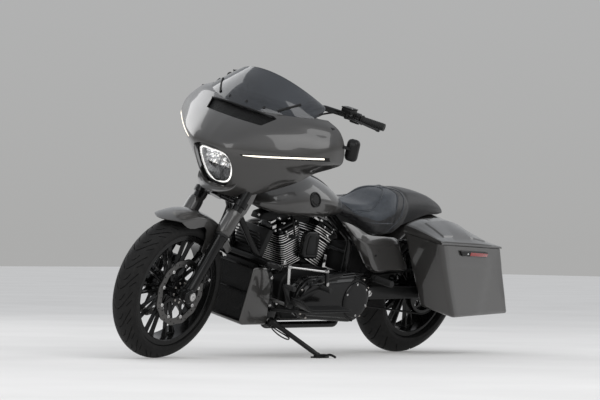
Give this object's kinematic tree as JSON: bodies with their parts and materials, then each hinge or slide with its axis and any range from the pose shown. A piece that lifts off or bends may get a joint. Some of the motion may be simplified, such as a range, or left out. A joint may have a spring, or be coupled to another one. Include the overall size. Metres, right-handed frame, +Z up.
{
  "type": "touring cruiser motorcycle",
  "caption": "Touring cruiser motorcycle with a fork-mounted fairing, low windshield, twin-cylinder engine and hard saddlebags, leaning on its side stand.",
  "frame": {"origin": "on the floor, under the middle of the bounding box of the parked machine", "axes": "+X forward, +Y to the rider's left, +Z up; the machine leans 14 degrees to +Y on its stand"},
  "size_m": [2.3245, 1.0474, 1.2953],
  "materials": {
    "body_paint": "gloss paint",
    "black_metal": "gloss black powder coat",
    "engine_black": "wrinkle black",
    "polished": "brushed",
    "chrome": "polished",
    "steel": "brushed",
    "tyre": "tread",
    "seat_leather": "grained",
    "smoke_screen": "dark smoke",
    "lamp_glass": "clear lens",
    "red_lens": "red lens",
    "light_bar": "white diffuser",
    "black_plastic": "grained",
    "grip_rubber": "ribbed",
    "mirror_glass": "gloss black"
  },
  "bodies": {
    "chassis": {"frame": "black_metal", "engine_case": "engine_black", "primary_cover": "engine_black", "engine_covers": "engine_black", "cylinder_front": "engine_black", "cylinder_rear": "engine_black", "air_cleaner": "engine_black", "fuel_tank": "body_paint", "tank_trim": "mirror_glass", "seat": "seat_leather", "side_covers": "body_paint", "battery_box": "black_plastic", "rear_fender": "body_paint", "swingarm": "black_metal", "shocks": "black_metal", "drive_belt": "grip_rubber", "rear_axle": "steel", "rear_caliper": "black_metal", "exhaust_pipes": "black_metal", "muffler": "black_metal", "bag_left": "body_paint", "bag_right": "body_paint", "rear_lamps": "red_lens", "plate": "black_plastic", "chin_spoiler": "body_paint", "chin_grille": "black_plastic", "guard_bar": "black_metal", "footrests": "black_metal", "foot_controls": "black_metal"},
    "fork": {"fork_frame": "black_metal", "fork_sliders": "black_metal", "fork_covers": "body_paint", "front_axle": "steel", "front_fender": "body_paint", "front_calipers": "black_metal", "fairing_outer": "body_paint", "fairing_inner": "black_plastic", "fairing_vent": "black_plastic", "windshield": "smoke_screen", "headlamp": "lamp_glass", "light_strips": "light_bar", "handlebar": "black_metal", "grips": "grip_rubber", "hand_controls": "black_metal", "mirrors": "mirror_glass"},
    "front_wheel": {"front_tyre": "tyre", "front_rim": "black_metal", "front_discs": "steel"},
    "rear_wheel": {"rear_tyre": "tyre", "rear_rim": "black_metal", "rear_disc": "steel", "rear_pulley": "black_metal"},
    "side_stand": {"side_stand": "black_metal"},
    "lid_left": {"lid_left": "body_paint"},
    "lid_right": {"lid_right": "body_paint"}
  },
  "joints": [
    {"name": "steering", "type": "hinge", "parent": "chassis", "child": "fork", "pos_m": [0.61742, 0.00007, 0.78846], "axis": [-0.4367, 0.2176, 0.8729], "range_deg": [-36, 28]},
    {"name": "front_wheel_spin", "type": "hinge", "parent": "fork", "child": "front_wheel", "pos_m": [0.84281, -0.12002, 0.31039], "axis": [-0.0628, 0.9606, -0.2709], "continuous": true},
    {"name": "rear_wheel_spin", "type": "hinge", "parent": "chassis", "child": "rear_wheel", "pos_m": [-0.7822, -0.1165, 0.3209], "axis": [0, 0.9703, -0.2419], "continuous": true},
    {"name": "side_stand_fold", "type": "hinge", "parent": "chassis", "child": "side_stand", "pos_m": [0.30556, 0.00825, 0.15989], "axis": [-0.0076, 0.6555, 0.7551], "range_deg": [0, 53.36]},
    {"name": "lid_left_hinge", "type": "hinge", "parent": "chassis", "child": "lid_left", "pos_m": [-0.70366, 0.34517, 0.50194], "axis": [-0.9898, -0.1396, -0.028], "range_deg": [0, 80]},
    {"name": "lid_right_hinge", "type": "hinge", "parent": "chassis", "child": "lid_right", "pos_m": [-0.70366, -0.43914, 0.69749], "axis": [0.9898, -0.1101, 0.0902], "range_deg": [0, 80]}
  ]
}
